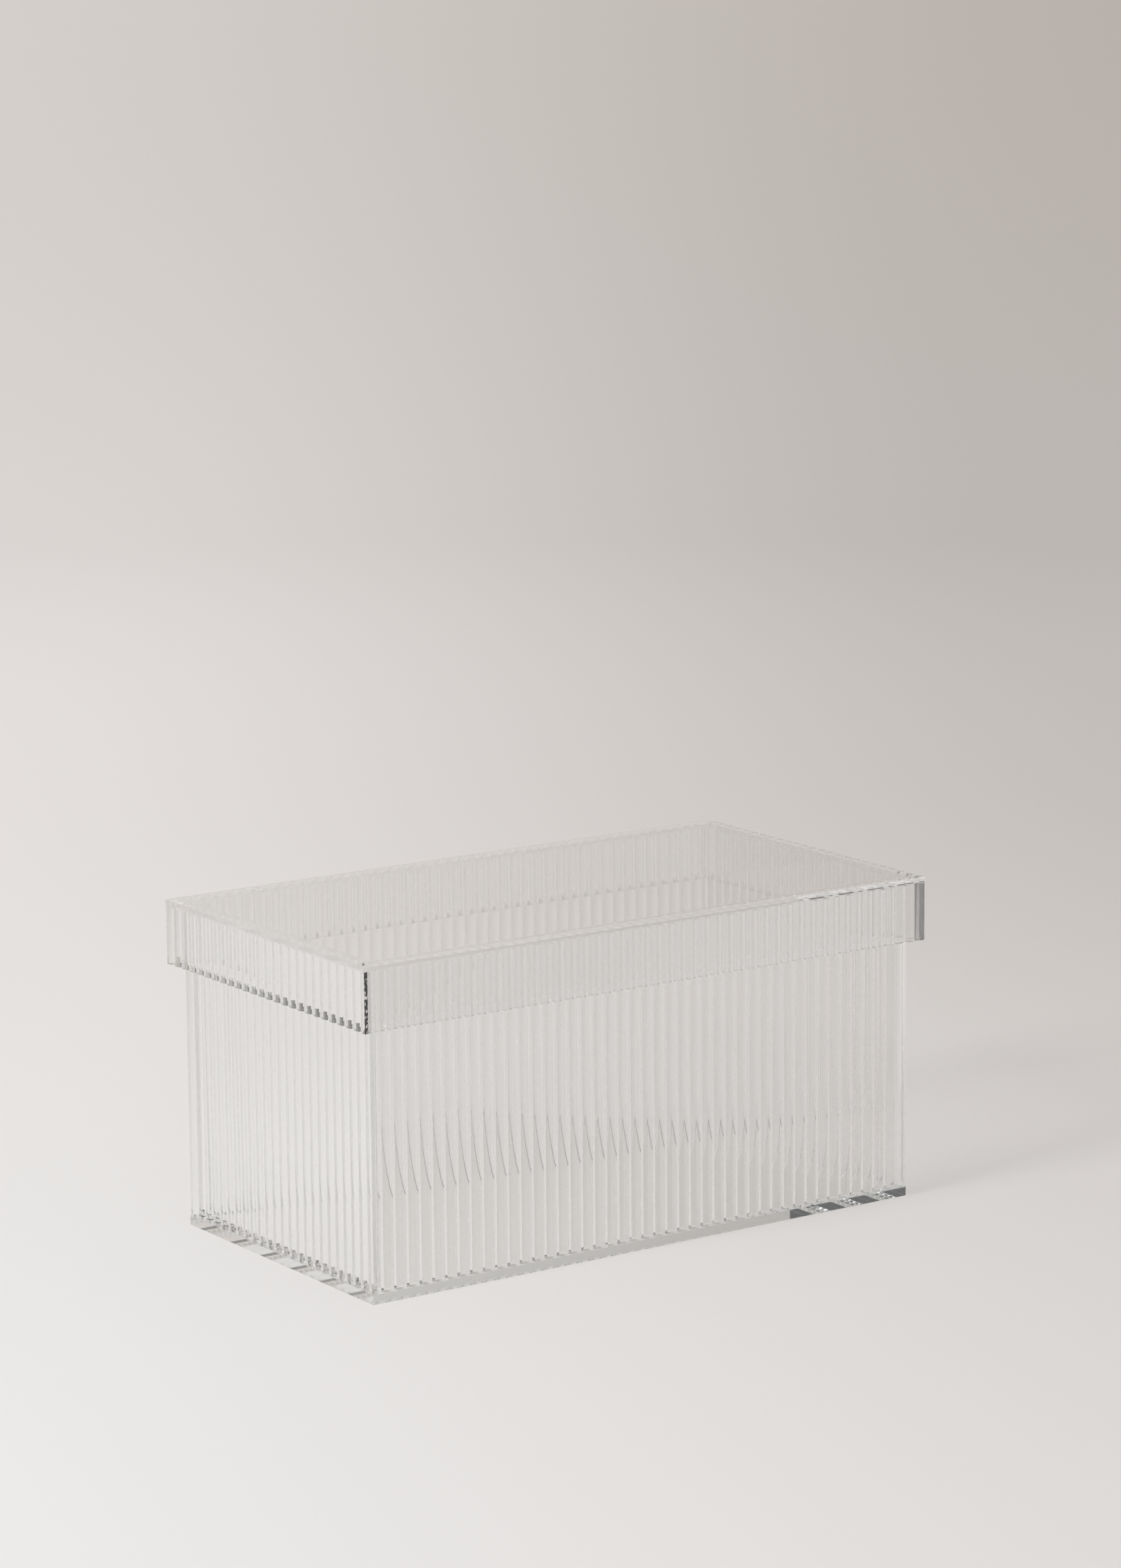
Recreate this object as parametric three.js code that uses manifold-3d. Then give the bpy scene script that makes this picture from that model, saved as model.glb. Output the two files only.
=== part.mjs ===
// Storage box of clear reeded acrylic: four mitred walls cemented onto a flat base plate,
// under a lift-off lid of four mitred skirts cemented under a flat top plate.
// Millimetres, +Z up. The origin is the middle of the base plate's underside, +X runs along the long side.
import * as THREE from "three";
import { mergeVertices } from "three/addons/utils/BufferGeometryUtils.js";
import Module from "manifold-3d";

// Driving dimensions
const BODY_LENGTH = 290; // over the reed crests, along X
const BODY_WIDTH = 154; // over the reed crests, along Y
const WALL_HEIGHT = 142.5;
const SKIRT_HEIGHT = 26.5;
const BASE_THICKNESS = 4.5;
const LID_TOP_THICKNESS = 3;
const SHEET_THICKNESS = 4.2; // reeded sheet, from its flat inner face to the reed crests
const REED_PITCH = 6.5;
const CREST_RADIUS = 4.2;
const GROOVE_WIDTH = 1.3; // V-groove between two reeds, across its mouth
const GROOVE_DEPTH = 1.2; // from its mouth to its floor
const LID_CLEARANCE = 1.5; // from the wall crests to the skirts' inner faces, on each side
const SEAT_GAP = 0.3; // from the wall rims to the lid's top plate
const CEMENT_GAP = 0.3; // thickness of the cement line in a mitre
const ARC_SEGMENTS = 3; // half the facets of one reed's arc

// Sizes that follow
const LID_OVERHANG = LID_CLEARANCE + SHEET_THICKNESS;
const LID_LENGTH = BODY_LENGTH + 2 * LID_OVERHANG;
const LID_WIDTH = BODY_WIDTH + 2 * LID_OVERHANG;
const RIM_HEIGHT = BASE_THICKNESS + WALL_HEIGHT;
const LID_TOP_UNDERSIDE = RIM_HEIGHT + SEAT_GAP;
const SKIRT_FOOT = LID_TOP_UNDERSIDE - SKIRT_HEIGHT;

// A reed's arc turns by REED_LEAN from its crest to the mouth of each groove
const REED_LEAN = Math.asin((REED_PITCH - GROOVE_WIDTH) / (2 * CREST_RADIUS));
const REED_DEPTH = CREST_RADIUS * (1 - Math.cos(REED_LEAN)) + GROOVE_DEPTH;

const wasm = await Module();
wasm.setup();

function solidOf(geometry) {
  const bare = geometry.clone();
  bare.deleteAttribute("normal");
  bare.deleteAttribute("uv");
  const merged = mergeVertices(bare, 1e-4);
  const vertProperties = merged.attributes.position.array;
  const triVerts = new Uint32Array(merged.index.array);
  return new wasm.Manifold(new wasm.Mesh({ numProp: 3, vertProperties, triVerts }));
}

function geometryOf(solid) {
  const { vertProperties, triVerts } = solid.getMesh();
  const geometry = new THREE.BufferGeometry();
  geometry.setAttribute("position", new THREE.BufferAttribute(vertProperties, 3));
  geometry.setIndex(new THREE.BufferAttribute(triVerts, 1));
  geometry.computeVertexNormals();
  return geometry;
}

// Cross-section of the sheet before it is mitred: flat along Y = 0, whole reeds on the +Y face, centred.
// Their number puts a crest near each corner, and the outermost pair is waste.
function reededSection(length) {
  const reeds = Math.round((length - SHEET_THICKNESS / 2) / REED_PITCH) + 3;
  const end = (reeds / 2) * REED_PITCH;
  const crestCentre = SHEET_THICKNESS - CREST_RADIUS;
  const valley = SHEET_THICKNESS - REED_DEPTH;
  const up = Math.PI / 2;
  const section = new THREE.Shape();
  section.moveTo(-end, 0);
  section.lineTo(end, 0);
  for (let i = reeds - 1; i >= 0; i--) {
    const crest = (i - (reeds - 1) / 2) * REED_PITCH;
    section.lineTo(crest + REED_PITCH / 2, valley);
    section.absarc(crest, crestCentre, CREST_RADIUS, up - REED_LEAN, up + REED_LEAN, false);
  }
  section.lineTo(-end, valley);
  section.closePath();
  return section;
}

// What the saw takes off one end of a sheet: all that lies past the mitre line and half the cement line
function mitreWaste(length, height, side) {
  const setBack = (CEMENT_GAP / 2) * Math.SQRT2;
  const innerEnd = length / 2 - SHEET_THICKNESS - setBack;
  const reach = 2 * REED_PITCH + SHEET_THICKNESS;
  const waste = new THREE.Shape();
  waste.moveTo(innerEnd - reach, -reach);
  waste.lineTo(innerEnd + 2 * reach, -reach);
  waste.lineTo(innerEnd + 2 * reach, 2 * reach);
  waste.closePath();
  const prism = new THREE.ExtrudeGeometry(waste, { depth: height + 2 * reach, bevelEnabled: false });
  prism.translate(0, 0, -reach);
  if (side < 0) {
    prism.rotateY(Math.PI);
    prism.translate(0, 0, height);
  }
  return solidOf(prism);
}

// One mitred panel, standing on Z = 0 with its reeds upright on the +Y side
function reededPanel(length, height) {
  const blank = new THREE.ExtrudeGeometry(reededSection(length), {
    depth: height,
    bevelEnabled: false,
    curveSegments: ARC_SEGMENTS,
  });
  const panel = solidOf(blank)
    .subtract(mitreWaste(length, height, 1))
    .subtract(mitreWaste(length, height, -1));
  return geometryOf(panel);
}

function clearAcrylic(color) {
  return new THREE.MeshStandardMaterial({
    color,
    roughness: 0.05,
    metalness: 0,
    transparent: true,
    opacity: 0.35,
  });
}

// Four panels round a rectangle of the given outside size, starting with the one that faces +Y
function panelRing(names, length, width, height, foot, color) {
  const ring = new THREE.Group();
  ring.position.z = foot;
  const long = reededPanel(length, height);
  const short = reededPanel(width, height);
  [names.back, names.left, names.front, names.right].forEach((name, quarter) => {
    const facesY = quarter % 2 === 0;
    const panel = new THREE.Mesh(facesY ? long : short, clearAcrylic(color));
    panel.name = name;
    panel.position.y = (facesY ? width : length) / 2 - SHEET_THICKNESS;
    const side = new THREE.Group();
    side.rotation.z = (quarter * Math.PI) / 2;
    side.add(panel);
    ring.add(side);
  });
  return ring;
}

function flatPlate(name, length, width, thickness, underside, color) {
  const plate = new THREE.Mesh(new THREE.BoxGeometry(length, width, thickness), clearAcrylic(color));
  plate.name = name;
  plate.position.z = underside + thickness / 2;
  return plate;
}

const WALL_COLOR = 0xe6e6e3;
const PLATE_COLOR = 0xdcdddb;

const body = new THREE.Group();
body.add(flatPlate("base_plate", BODY_LENGTH, BODY_WIDTH, BASE_THICKNESS, 0, PLATE_COLOR));
const wallNames = { front: "front_wall", back: "back_wall", left: "left_wall", right: "right_wall" };
body.add(panelRing(wallNames, BODY_LENGTH, BODY_WIDTH, WALL_HEIGHT, BASE_THICKNESS, WALL_COLOR));

const lid = new THREE.Group();
lid.add(flatPlate("lid_top", LID_LENGTH, LID_WIDTH, LID_TOP_THICKNESS, LID_TOP_UNDERSIDE, PLATE_COLOR));
const skirtNames = {
  front: "lid_front_skirt",
  back: "lid_back_skirt",
  left: "lid_left_skirt",
  right: "lid_right_skirt",
};
lid.add(panelRing(skirtNames, LID_LENGTH, LID_WIDTH, SKIRT_HEIGHT, SKIRT_FOOT, WALL_COLOR));

const box = new THREE.Group();
box.add(body, lid);

export default box;
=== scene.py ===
import math

import bmesh
import bpy
from mathutils import Matrix, Vector


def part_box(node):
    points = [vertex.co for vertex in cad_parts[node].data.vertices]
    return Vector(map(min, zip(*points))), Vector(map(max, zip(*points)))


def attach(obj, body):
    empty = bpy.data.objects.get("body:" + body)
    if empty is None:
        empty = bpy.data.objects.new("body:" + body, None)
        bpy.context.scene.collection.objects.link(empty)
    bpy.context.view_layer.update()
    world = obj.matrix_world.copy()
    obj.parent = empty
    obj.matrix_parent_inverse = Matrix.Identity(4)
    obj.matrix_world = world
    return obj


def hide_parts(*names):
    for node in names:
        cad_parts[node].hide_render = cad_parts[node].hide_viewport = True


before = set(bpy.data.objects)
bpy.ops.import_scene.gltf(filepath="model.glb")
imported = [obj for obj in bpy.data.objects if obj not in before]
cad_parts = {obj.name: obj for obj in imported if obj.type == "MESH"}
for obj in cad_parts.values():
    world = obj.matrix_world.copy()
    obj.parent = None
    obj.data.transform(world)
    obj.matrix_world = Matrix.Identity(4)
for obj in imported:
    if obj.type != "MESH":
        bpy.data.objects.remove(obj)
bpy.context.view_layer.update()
bpy.context.scene.view_settings.view_transform = "Standard"


# Walls
# Four panels of clear acrylic sheet, flat inside, with upright reeds outside: arcs parted by V-grooves.
# They are mitred at the corners and cemented to each other and to the base plate,
# with a thin bead of cement along the inside of the foot that has a dark grey film mixed in along the back.
MM = 0.001
ACRYLIC_IOR = 1.49
REED_PITCH = 6.5 * MM
CREST_RADIUS = 4.2 * MM
GROOVE_WIDTH = 1.3 * MM
GROOVE_DEPTH = 1.2 * MM
REED_STEPS = 10
RIM_ARRIS = 0.15 * MM
CEMENT_BEAD = 0.9 * MM
SMOOTH_ANGLE = math.radians(20)
PALE = (0.975, 0.975, 0.972, 1)
DEEP = (0.95, 0.953, 0.95, 1)
RIPPLE_HEIGHT = 0.02 * MM
REED_RIPPLE = 12
REED_LAMP_SHARE = 0.97
CEMENT_CLOUD = (0.8, 0.8, 0.79, 1)
BEAD_DARK_FILM = (0.08, 0.08, 0.08, 1)
DARK_BACK_START = 40 * MM
DARK_BACK_END = 60 * MM
wall_low, wall_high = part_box("front_wall")
SHEET_THICKNESS = wall_high[1] - wall_low[1]


class Shade:
    """A socket of one node tree. Arithmetic on it adds Math nodes, and node() adds any other node."""

    def __init__(self, tree, socket=None):
        self.tree = tree
        self.socket = socket

    def node(self, kind, settings=None, sockets=None, output=0):
        made = self.tree.nodes.new(kind)
        for name, value in (settings or {}).items():
            setattr(made, name, value)
        for name, value in (sockets or {}).items():
            if isinstance(value, Shade):
                self.tree.links.new(value.socket, made.inputs[name])
            else:
                made.inputs[name].default_value = value
        return Shade(self.tree, made.outputs[output] if made.outputs else None)

    def math(self, operation, first, second):
        return self.node("ShaderNodeMath", {"operation": operation}, {0: first, 1: second})

    def __add__(self, other):
        return self.math("ADD", self, other)

    def __radd__(self, other):
        return self.math("ADD", other, self)

    def __sub__(self, other):
        return self.math("SUBTRACT", self, other)

    def __rsub__(self, other):
        return self.math("SUBTRACT", other, self)

    def __mul__(self, other):
        return self.math("MULTIPLY", self, other)

    def __rmul__(self, other):
        return self.math("MULTIPLY", other, self)

    def noise(self, place, scale, detail):
        sockets = {"Vector": place, "Scale": scale, "Detail": detail}
        return self.node("ShaderNodeTexNoise", None, sockets, "Fac")

    def mixed_colour(self, factor, first, second):
        settings = {"data_type": "RGBA"}
        return self.node("ShaderNodeMix", settings, {0: factor, 6: first, 7: second}, 2)

    def along(self, place, direction, start, end):
        """A smooth step from 0 to 1 along one direction."""
        settings = {"operation": "DOT_PRODUCT"}
        reach = self.node("ShaderNodeVectorMath", settings, {0: place, 1: direction}, "Value")
        sockets = {"Value": reach, "From Min": start, "From Max": end}
        return self.node("ShaderNodeMapRange", {"interpolation_type": "SMOOTHSTEP"}, sockets)


def new_shader(name):
    material = bpy.data.materials.new(name)
    material.use_nodes = True
    material.node_tree.nodes.clear()
    return material, Shade(material.node_tree)


def lamp_passes(shade, surface, lamp_share):
    """Lets the lamp's light through a clear surface, less the share that is lost there."""
    lamp_grey = (lamp_share, lamp_share, lamp_share, 1)
    lamp_side = shade.node("ShaderNodeBsdfTransparent", sockets={"Color": lamp_grey})
    shadow_ray = shade.node("ShaderNodeLightPath", output="Is Shadow Ray")
    diffuse_ray = shade.node("ShaderNodeLightPath", output="Is Diffuse Ray")
    let_through = shade.math("MAXIMUM", shadow_ray, diffuse_ray)
    return shade.node("ShaderNodeMixShader", sockets={0: let_through, 1: surface, 2: lamp_side})


def clear_acrylic(name, pale, deep, lamp_share, ripple_scale):
    """Polished clear sheet: a faint cloudy tint, handling haze in the gloss and a slow surface ripple."""
    material, shade = new_shader(name)
    place = shade.node("ShaderNodeTexCoord", output="Object")
    cloud = shade.noise(place, 14, 2)
    smear = shade.noise(place, 55, 4)
    ripple = shade.noise(place, ripple_scale, 1)
    surface = shade.node(
        "ShaderNodeBsdfPrincipled",
        sockets={
            "Base Color": shade.mixed_colour(cloud, pale, deep),
            "Roughness": 0.004 + 0.02 * smear,
            "IOR": ACRYLIC_IOR,
            "Transmission Weight": 1.0,
            "Normal": shade.node("ShaderNodeBump", sockets={"Distance": RIPPLE_HEIGHT, "Height": ripple}),
        },
    )
    whole = lamp_passes(shade, surface, lamp_share)
    shade.node("ShaderNodeOutputMaterial", sockets={"Surface": whole})
    return material


def clear_cement(name):
    """The film that closes a joint: the same index as the sheet, so that it shows only as a faint cloud."""
    material, shade = new_shader(name)
    place = shade.node("ShaderNodeTexCoord", output="Object")
    cloud = shade.noise(place, 700, 3)
    sockets = {"Base Color": CEMENT_CLOUD, "Roughness": 0.6}
    film = shade.node("ShaderNodeBsdfPrincipled", sockets=sockets)
    clear = shade.node("ShaderNodeBsdfTransparent")
    whole = shade.node("ShaderNodeMixShader", sockets={0: 0.04 * cloud, 1: clear, 2: film})
    shade.node("ShaderNodeOutputMaterial", sockets={"Surface": whole})
    return material


def dark_backed_bead(name):
    """The bead of cement along the foot of a wall, clear in front and with a dark grey film mixed in along
    the back.
    """
    material, shade = new_shader(name)
    place = shade.node("ShaderNodeTexCoord", output="Object")
    sockets = {"Base Color": PALE, "Roughness": 0.02, "IOR": ACRYLIC_IOR, "Transmission Weight": 1.0}
    clear = shade.node("ShaderNodeBsdfPrincipled", sockets=sockets)
    sockets = {"Base Color": BEAD_DARK_FILM, "Roughness": 0.7}
    dark_film = shade.node("ShaderNodeBsdfPrincipled", sockets=sockets)
    back = shade.along(place, (0, 1, 0), DARK_BACK_START, DARK_BACK_END)
    dark_share = back * (0.4 + 0.4 * shade.noise(place, 250, 3))
    bead = shade.node("ShaderNodeMixShader", sockets={0: dark_share, 1: clear, 2: dark_film})
    whole = lamp_passes(shade, bead, REED_LAMP_SHARE)
    shade.node("ShaderNodeOutputMaterial", sockets={"Surface": whole})
    return material


def add_piece(name, mesh, materials, body, node):
    piece = bpy.data.objects.new(name, mesh)
    bpy.context.scene.collection.objects.link(piece)
    for material in materials:
        mesh.materials.append(material)
    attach(piece, body)
    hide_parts(node)


def reed_outline():
    """One reed from valley to valley, as (offset from its crest, drop below it)."""
    half = REED_PITCH / 2
    lean = math.asin((half - GROOVE_WIDTH / 2) / CREST_RADIUS)
    arc = []
    for step in range(-REED_STEPS, REED_STEPS + 1):
        turn = lean * step / REED_STEPS
        arc.append((CREST_RADIUS * math.sin(turn), CREST_RADIUS * (1 - math.cos(turn))))
    valley = arc[-1][1] + GROOVE_DEPTH
    return [(-half, valley), *arc, (half, valley)]


def reed_line(length):
    """The reeded face of a panel in plan, from mitre to mitre, as (along, out from the inner face)."""
    reeds = round((length - SHEET_THICKNESS / 2) / REED_PITCH) + 1
    inner_half = length / 2 - SHEET_THICKNESS
    line = []
    for reed in range(-1, reeds + 1):
        crest = (reed - (reeds - 1) / 2) * REED_PITCH
        line += [(crest + offset, SHEET_THICKNESS - drop) for offset, drop in reed_outline()[1:]]
    past = next(i for i, (along, out) in enumerate(line) if along > inner_half + out)
    (near, near_out), (far, far_out) = line[past - 1], line[past]
    inside = inner_half + near_out - near
    share = inside / (inside + far - inner_half - far_out)
    end = near + share * (far - near)
    end_out = end - inner_half
    between = [(along, out) for along, out in line if abs(along) < end - 0.01 * MM]
    return [(-end, end_out), *between, (end, end_out)]


def finished_mesh(name, build):
    bmesh.ops.recalc_face_normals(build, faces=build.faces[:])
    mesh = bpy.data.meshes.new(name)
    build.to_mesh(mesh)
    build.free()
    mesh.shade_smooth()
    mesh.set_sharp_from_angle(angle=SMOOTH_ANGLE)
    return mesh


def panel_mesh(name, length, rows, cemented_row, mitre_gap):
    """A mitred panel with its reeds facing +Y and its inner face on Y = 0.

    Rows are (height, inset of the reeded face, inset of the inner face).
    Material 0 is the sheet, 1 a cemented face, and 2 the bead of cement or a bare mitre.
    """
    inner_half = length / 2 - SHEET_THICKNESS
    line = reed_line(length)
    for end in (0, -1):
        along, out = line[end]
        line[end] = (along - math.copysign(mitre_gap, along), out)
    panel = bmesh.new()
    outer = []
    inner = []
    for height, reed_inset, inset in rows:
        outer.append([panel.verts.new((along, out - reed_inset, height)) for along, out in line])
        inner.append([panel.verts.new((side * (inner_half + inset), inset, height)) for side in (-1, 1)])
    for row in range(len(rows) - 1):
        low, high = outer[row], outer[row + 1]
        for column in range(len(line) - 1):
            panel.faces.new((low[column], low[column + 1], high[column + 1], high[column]))
        inside = panel.faces.new((inner[row][0], inner[row][1], inner[row + 1][1], inner[row + 1][0]))
        inside.material_index = 2 if rows[row][2] < 0 else 0
        for end in (0, -1):
            mitre = panel.faces.new((low[end], high[end], inner[row + 1][end], inner[row][end]))
            mitre.material_index = 2 if mitre_gap else 1
    for row in (0, -1):
        edge = panel.faces.new((*outer[row], inner[row][1], inner[row][0]))
        edge.material_index = 1 if row == cemented_row else 0
    return finished_mesh(name, panel)


def panel_ring(prefix, suffix, low, high, rows, cemented_row, mitre_gap, materials, body):
    """Four panels round a rectangle, the reeds facing out."""
    length = high[0] - low[0]
    width = high[1] - low[1]
    for quarter, side in enumerate(("back", "left", "front", "right")):
        across, through = (length, width) if quarter % 2 == 0 else (width, length)
        node = prefix + side + suffix
        mesh = panel_mesh(node + "_sheet", across, rows, cemented_row, mitre_gap)
        turn = Matrix.Rotation(quarter * math.pi / 2, 4, "Z")
        mesh.transform(turn @ Matrix.Translation((0, through / 2 - SHEET_THICKNESS, 0)))
        add_piece(node + "_sheet", mesh, materials, body, node)


joint_cement = clear_cement("clear_joint_cement")
reeded_acrylic = clear_acrylic("clear_reeded_acrylic", PALE, DEEP, REED_LAMP_SHARE, REED_RIPPLE)
base_low, base_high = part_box("base_plate")
wall_rows = (
    (wall_low[2], 0, -CEMENT_BEAD),
    (wall_low[2] + CEMENT_BEAD, 0, 0),
    (wall_high[2] - RIM_ARRIS, 0, 0),
    (wall_high[2], RIM_ARRIS, RIM_ARRIS),
)
wall_materials = (reeded_acrylic, joint_cement, dark_backed_bead("cement_bead_dark_back"))
panel_ring("", "_wall", base_low, base_high, wall_rows, 0, 0, wall_materials, "box_body")


# Base plate
# One flat sheet of clear cast acrylic, sawn to size, its edges polished and its lower arris scraped.
# The four walls stand on its rim and are cemented to it, and its long edges are tinted a darker grey-blue
# than the rest of it.
PLATE_ARRIS = 0.06 * MM
CREST_SETBACK = 0.02 * MM
PLATE_RIPPLE = 9
PLATE_LAMP_SHARE = 0.985
EDGE_PALE = (0.83, 0.86, 0.875, 1)
EDGE_DEEP = (0.79, 0.83, 0.845, 1)


def plate_mesh(name, low, high, joint_on_top, joint_width):
    """A flat sheet, with the footprint of a ring of panels left as cement on one face.

    Material 0 is the sheet, 1 the cemented footprint, and 2 the long edges.
    """
    joint_height, free_height = (high[2], low[2]) if joint_on_top else (low[2], high[2])
    inward = PLATE_ARRIS if joint_on_top else -PLATE_ARRIS
    half = Vector((high[0] - low[0], high[1] - low[1])) / 2
    plate = bmesh.new()

    def corners(inset, height):
        signs = ((-1, 1), (-1, -1), (1, -1), (1, 1))
        return [plate.verts.new((x * (half.x - inset), y * (half.y - inset), height)) for x, y in signs]

    rim = corners(0, joint_height)
    side = corners(0, free_height + inward)
    free = corners(PLATE_ARRIS, free_height)
    floor = corners(joint_width, joint_height)
    plate.faces.new(free)
    plate.faces.new(floor)
    for quarter in range(4):
        after, before = quarter, quarter - 1
        for lower, upper in ((rim, side), (side, free)):
            edge = plate.faces.new((lower[before], lower[after], upper[after], upper[before]))
            edge.material_index = 2 if quarter % 2 == 0 else 0
        across, through = (half.x, half.y) if quarter % 2 == 0 else (half.y, half.x)
        turn = Matrix.Rotation(quarter * math.pi / 2, 3, "Z")
        line = []
        for along, out in reed_line(2 * across):
            reach = through - SHEET_THICKNESS + min(out, SHEET_THICKNESS - CREST_SETBACK)
            line.append(plate.verts.new(turn @ Vector((along, reach, joint_height))))
        joint = plate.faces.new((floor[after], *line, floor[before]))
        joint.material_index = 1
        plate.faces.new((rim[after], *line, rim[before]))
    return finished_mesh(name, plate)


plate_acrylic = clear_acrylic("clear_plate_acrylic", PALE, DEEP, PLATE_LAMP_SHARE, PLATE_RIPPLE)
plate_edge = clear_acrylic("clear_plate_edge", EDGE_PALE, EDGE_DEEP, PLATE_LAMP_SHARE, PLATE_RIPPLE)
plate_materials = (plate_acrylic, joint_cement, plate_edge)
base_mesh = plate_mesh("base_plate_sheet", base_low, base_high, True, SHEET_THICKNESS + CEMENT_BEAD)
add_piece("base_plate_sheet", base_mesh, plate_materials, "box_body", "base_plate")


# Lid top
# A flat sheet of the same clear acrylic, polished on its edges, that rests on the rims of the walls.
LID_EDGE_PALE = (0.92, 0.93, 0.93, 1)
LID_EDGE_DEEP = (0.89, 0.905, 0.905, 1)

lid_low, lid_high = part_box("lid_top")
edge_tints = (LID_EDGE_PALE, LID_EDGE_DEEP)
lid_edge = clear_acrylic("clear_lid_edge", *edge_tints, PLATE_LAMP_SHARE, PLATE_RIPPLE)
lid_materials = (plate_acrylic, joint_cement, lid_edge)
lid_mesh = plate_mesh("lid_top_sheet", lid_low, lid_high, False, SHEET_THICKNESS)
add_piece("lid_top_sheet", lid_mesh, lid_materials, "lid", "lid_top")


# Lid skirts
# Four strips of the reeded sheet, cemented under the edge of the lid's top and hanging outside the walls.
# Their mitres only touch, and painted shade darkens the front ones: a broken dark line in the front left
# mitre and dark streaks in the front right one.
SKIRT_ARRIS = 0.04 * MM
MITRE_GAP = 0.008 * MM
LINE_INNER = 5.2 * MM
LINE_OUTER = 4.6 * MM
SIDE_BLEND = 10 * MM
PAINTED_JOINT_SHADE = (0.02, 0.02, 0.025, 1)
STREAK_STRETCH = (1, 1, 0.02)


def bare_mitre(name):
    """The polished end of a strip, with painted shade: a broken dark line in the front left joint and dark
    streaks in the front right one.
    """
    material, shade = new_shader(name)
    place = shade.node("ShaderNodeTexCoord", output="Object")
    corner = lid_high[0] + lid_high[1]
    outward = shade.node("ShaderNodeVectorMath", {"operation": "ABSOLUTE"}, {0: place}, "Vector")
    line = shade.along(outward, (1, 1, 0), corner - LINE_INNER, corner - LINE_OUTER)
    sockets = {"Value": shade.noise(place, 650, 1), "From Min": 0.38, "From Max": 0.45}
    line_breaks = shade.node("ShaderNodeMapRange", sockets=sockets)
    polish = shade.node(
        "ShaderNodeBsdfPrincipled",
        sockets={"Base Color": PALE, "Roughness": 0.01, "IOR": ACRYLIC_IOR, "Transmission Weight": 1.0},
    )
    # Painted shade: a near-black film that darkens the front mitres where their joints look dark.
    sockets = {"Base Color": PAINTED_JOINT_SHADE, "Roughness": 0.6}
    joint_shade = shade.node("ShaderNodeBsdfPrincipled", sockets=sockets)
    front = shade.along(place, (0, -1, 0), 0, SIDE_BLEND)
    right = shade.along(place, (1, 0, 0), 0, SIDE_BLEND)
    settings = {"operation": "MULTIPLY"}
    drawn_out = shade.node("ShaderNodeVectorMath", settings, {0: place, 1: STREAK_STRETCH})
    sockets = {"Value": shade.noise(drawn_out, 700, 2), "From Min": 0.35, "From Max": 0.65}
    # The haze here is painted shade: dark streaks of the near-black film in the front right mitre.
    haze = 0.06 + 0.4 * shade.node("ShaderNodeMapRange", sockets=sockets)
    shaded = front * (line * line_breaks * (1 - right) + haze * right)
    whole = shade.node("ShaderNodeMixShader", sockets={0: shaded, 1: polish, 2: joint_shade})
    shade.node("ShaderNodeOutputMaterial", sockets={"Surface": whole})
    return material


skirt_low, skirt_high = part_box("lid_front_skirt")
skirt_rows = (
    (skirt_low[2], SKIRT_ARRIS, SKIRT_ARRIS),
    (skirt_low[2] + SKIRT_ARRIS, 0, 0),
    (skirt_high[2], 0, 0),
)
skirt_materials = (reeded_acrylic, joint_cement, bare_mitre("bare_mitre"))
panel_ring("lid_", "_skirt", lid_low, lid_high, skirt_rows, -1, MITRE_GAP, skirt_materials, "lid")


# Floor and backdrop
# One seamless sweep of pale matt paper, flat under the box and rising behind it.
FLOOR_DROP = 0.3 * MM
FLOOR_RADIUS = 2.2
SWEEP_RADIUS = 4
SWEEP_SIDES = 96
SWEEP_STEPS = 40
FRONT_RISE = 0.12
VIEW_RIGHT = Vector((0.823, -0.568, 0))
VIEW_AWAY = Vector((0.568, 0.823, 0))
SIDE_SPREAD = 0.45
FAR_SPREAD = 0.9
FRONT_END = -0.8
MIDDLE_START = 1.1
FAR_START = 4.3
# Paper colours with painted light and shade in them: brightest near the lamp, darker and warmer to the right
# and far away.
FRONT_LEFT = (0.73, 0.73, 0.728, 1)
FRONT_RIGHT = (0.618, 0.592, 0.585, 1)
MIDDLE_LEFT = (0.675, 0.65, 0.642, 1)
MIDDLE_RIGHT = (0.49, 0.466, 0.45, 1)
FAR_LEFT = (0.495, 0.471, 0.45, 1)
FAR_RIGHT = (0.35, 0.323, 0.301, 1)
# Painted shade: the paper darkens again far to the left, where the lamp's light falls off.
LEFT_DIMMING_START = 0.2
LEFT_DIMMING_END = 0.55
LEFT_DIMMING_SHADE = (0.615, 0.61, 0.605, 1)


def sweep_mesh(name):
    profile = [(0.4, 0), (1.2, 0), (FLOOR_RADIUS, 0)]
    for step in range(1, SWEEP_STEPS + 1):
        turn = math.pi / 2 * step / SWEEP_STEPS
        profile.append((FLOOR_RADIUS + SWEEP_RADIUS * math.sin(turn), SWEEP_RADIUS * (1 - math.cos(turn))))
    sweep = bmesh.new()
    middle = sweep.verts.new((0, 0, -FLOOR_DROP))
    rings = []
    for radius, height in profile:
        ring = []
        for side in range(SWEEP_SIDES):
            turn = 2 * math.pi * side / SWEEP_SIDES
            outward = Vector((math.cos(turn), math.sin(turn), 0))
            share = min(1, max(0, (outward.dot(VIEW_AWAY) - 0.55) / 0.35))
            rise = FRONT_RISE + (1 - FRONT_RISE) * share * share * (3 - 2 * share)
            ring.append(sweep.verts.new(radius * outward + Vector((0, 0, height * rise - FLOOR_DROP))))
        rings.append(ring)
    for side in range(SWEEP_SIDES):
        after = (side + 1) % SWEEP_SIDES
        sweep.faces.new((middle, rings[0][side], rings[0][after]))
        for low, high in zip(rings, rings[1:]):
            sweep.faces.new((low[side], high[side], high[after], low[after]))
    mesh = bpy.data.meshes.new(name)
    sweep.to_mesh(mesh)
    sweep.free()
    mesh.shade_smooth()
    return mesh


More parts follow.
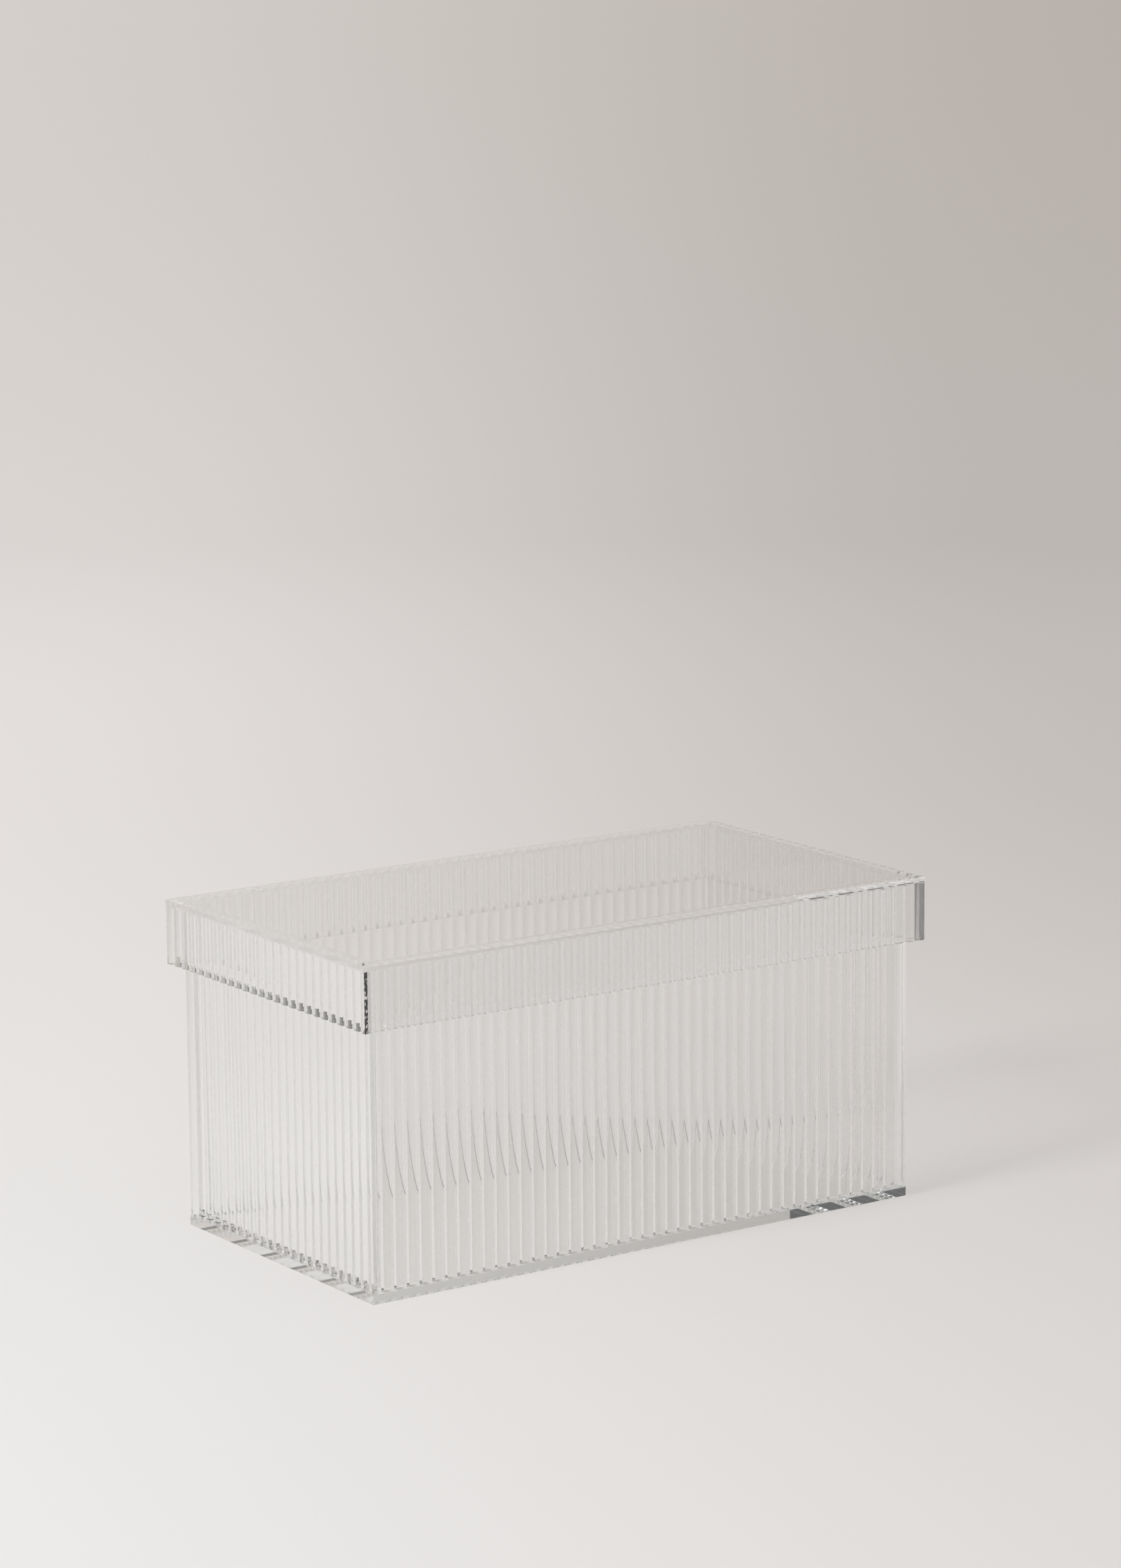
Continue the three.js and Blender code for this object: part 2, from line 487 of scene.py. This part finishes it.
def matt_paper(name):
    """Pale paper with the lamp's falloff painted into its colour: bright and cool on the lamp's side, darker
    and warmer towards the far right, and a little darker again far to the left.
    """
    material, shade = new_shader(name)
    place = shade.node("ShaderNodeTexCoord", output="Object")
    tooth = shade.noise(place, 900, 2)
    # These gradients are painted light: they put the lamp's falloff into the paper's colour.
    rightward = shade.along(place, VIEW_RIGHT, -SIDE_SPREAD, SIDE_SPREAD)
    front = shade.mixed_colour(rightward, FRONT_LEFT, FRONT_RIGHT)
    front = shade.mixed_colour(shade.along(place, -VIEW_RIGHT, LEFT_DIMMING_START, LEFT_DIMMING_END), front, LEFT_DIMMING_SHADE)
    middle = shade.mixed_colour(rightward, MIDDLE_LEFT, MIDDLE_RIGHT)
    far = shade.mixed_colour(shade.along(place, VIEW_RIGHT, -FAR_SPREAD, FAR_SPREAD), FAR_LEFT, FAR_RIGHT)
    near = shade.mixed_colour(shade.along(place, VIEW_AWAY, FRONT_END, MIDDLE_START), front, middle)
    paper = shade.mixed_colour(shade.along(place, VIEW_AWAY, MIDDLE_START, FAR_START), near, far)
    surface = shade.node(
        "ShaderNodeBsdfPrincipled",
        sockets={
            "Base Color": paper,
            "Roughness": 0.85 + 0.1 * tooth,
            "Specular IOR Level": 0.1,
        },
    )
    shade.node("ShaderNodeOutputMaterial", sockets={"Surface": surface})
    return material


backdrop = bpy.data.objects.new("paper_sweep", sweep_mesh("paper_sweep"))
bpy.context.scene.collection.objects.link(backdrop)
backdrop.data.materials.append(matt_paper("matt_paper"))


# Light
# A wide soft lamp from the left end of the box, in a grey room with a window in front,
# a dark end behind the backdrop and a dark doorway at the back left.
LAMP_PLACE = Vector((-18.8, -1.8, 10.8))
LAMP_SIZE = 5.8
LAMP_POWER = 6600
ROOM_GREY = 0.5
ROOM_WINDOW = 0.72
ROOM_DARK = 0.04
ROOM_DOOR = 0.12
WINDOW_HEADING = Vector((0.375, -0.927, 0))
DOOR_HEADING = Vector((-0.62, 0.785, 0))
DOOR_ACROSS = Vector((0.785, 0.62, 0))
DOOR_EDGE = 0.061
DOOR_FADE = 0.165

lamp_data = bpy.data.lights.new("side_lamp", "AREA")
lamp_data.shape = "DISK"
lamp_data.size = LAMP_SIZE
lamp_data.energy = LAMP_POWER
lamp = bpy.data.objects.new("side_lamp", lamp_data)
bpy.context.scene.collection.objects.link(lamp)
lamp.location = LAMP_PLACE
lamp.rotation_euler = (-LAMP_PLACE).to_track_quat("-Z", "Y").to_euler()

world = bpy.data.worlds.new("room")
bpy.context.scene.world = world
world.use_nodes = True
world.node_tree.nodes.clear()
room = Shade(world.node_tree)
heading = room.node("ShaderNodeTexCoord", output="Generated")
window = room.along(heading, WINDOW_HEADING, 0.5, 0.8)
behind = room.along(heading, VIEW_AWAY, 0.45, 0.75)
door = room.along(heading, DOOR_HEADING, 0.4, 0.6)
for across in (DOOR_ACROSS, -DOOR_ACROSS):
    door = door * room.along(heading, across, -DOOR_FADE, -DOOR_EDGE)
glow = ROOM_GREY + (ROOM_WINDOW - ROOM_GREY) * window + (ROOM_DARK - ROOM_GREY) * behind
glow = glow + (ROOM_DOOR - ROOM_GREY) * door
sky = room.node("ShaderNodeBackground", sockets={"Color": (1, 0.99, 0.97, 1), "Strength": glow})
room.node("ShaderNodeOutputWorld", sockets={"Surface": sky})

# Light runs a long way inside clear sheet, so its paths are kept long
CLEAR_BOUNCES = 160
cycles = bpy.context.scene.cycles
cycles.max_bounces = CLEAR_BOUNCES
cycles.glossy_bounces = CLEAR_BOUNCES
cycles.transmission_bounces = CLEAR_BOUNCES
cycles.transparent_max_bounces = CLEAR_BOUNCES


# Camera
# A long lens from the front left, a little above the lid.
CAMERA_PLACE = Vector((-1.19882, -1.74925, 0.6052))
CAMERA_YAW = math.radians(34.585)
CAMERA_PITCH = math.radians(10.875)
CAMERA_ROLL = math.radians(-0.4934)
CAMERA_LENS = 110.5345

camera_data = bpy.data.cameras.new("camera")
camera_data.lens = CAMERA_LENS
camera = bpy.data.objects.new("camera", camera_data)
bpy.context.scene.collection.objects.link(camera)
camera.location = CAMERA_PLACE
turn = Matrix.Rotation(-CAMERA_YAW, 3, "Z")
tilt = Matrix.Rotation(math.pi / 2 - CAMERA_PITCH, 3, "X")
roll = Matrix.Rotation(CAMERA_ROLL, 3, "Z")
camera.rotation_euler = (turn @ tilt @ roll).to_euler()
bpy.context.scene.camera = camera
